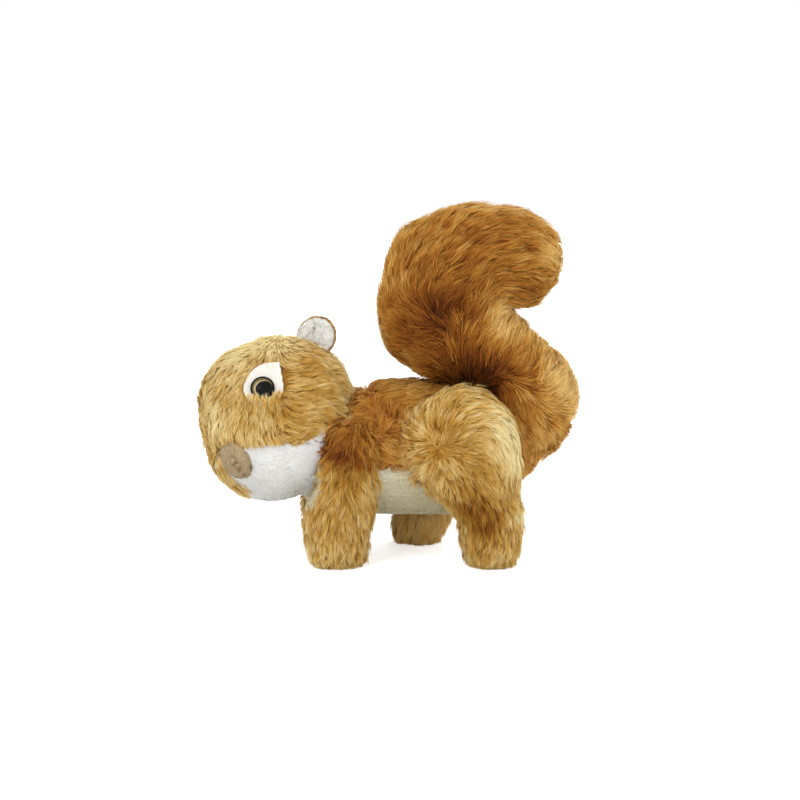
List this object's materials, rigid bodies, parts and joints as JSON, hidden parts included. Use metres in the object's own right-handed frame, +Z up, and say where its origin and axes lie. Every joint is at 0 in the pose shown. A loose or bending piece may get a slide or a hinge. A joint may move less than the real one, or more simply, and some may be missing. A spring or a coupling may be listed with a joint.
{
  "type": "plush squirrel",
  "caption": "Stuffed plush squirrel standing on all fours, head turned to its left, with plastic button eyes and a bushy tail curled up over its back.",
  "frame": {"origin": "centre of the bounding box's bottom face, on the floor that the four feet stand on", "axes": "-X towards the nose end, -Y towards the toy's own left side, +Z up"},
  "size_m": [0.2653, 0.1292, 0.2439],
  "materials": {
    "golden_pile": "golden-brown medium pile",
    "brown_pile": "brown medium pile",
    "tail_pile": "brown long pile with golden tips",
    "white_pile": "white short pile",
    "cream_pile": "cream short pile",
    "nose_pile": "beige short pile",
    "felt": "felt",
    "eye_plastic": "polished",
    "washer_plastic": "matt"
  },
  "bodies": {
    "root": {"head": "golden_pile", "muzzle": "white_pile", "nose": "nose_pile", "left_eye_patch": "felt", "left_eye": "eye_plastic", "left_eye_washer": "washer_plastic", "left_ear_back": "golden_pile", "left_ear_lining": "white_pile", "right_eye_patch": "felt", "right_eye": "eye_plastic", "right_eye_washer": "washer_plastic", "right_ear_back": "golden_pile", "right_ear_lining": "white_pile", "torso": "brown_pile", "belly_panel": "cream_pile", "front_left_leg": "golden_pile", "hind_left_leg": "golden_pile", "front_right_leg": "golden_pile", "hind_right_leg": "golden_pile", "tail": "tail_pile"}
  },
  "joints": []
}
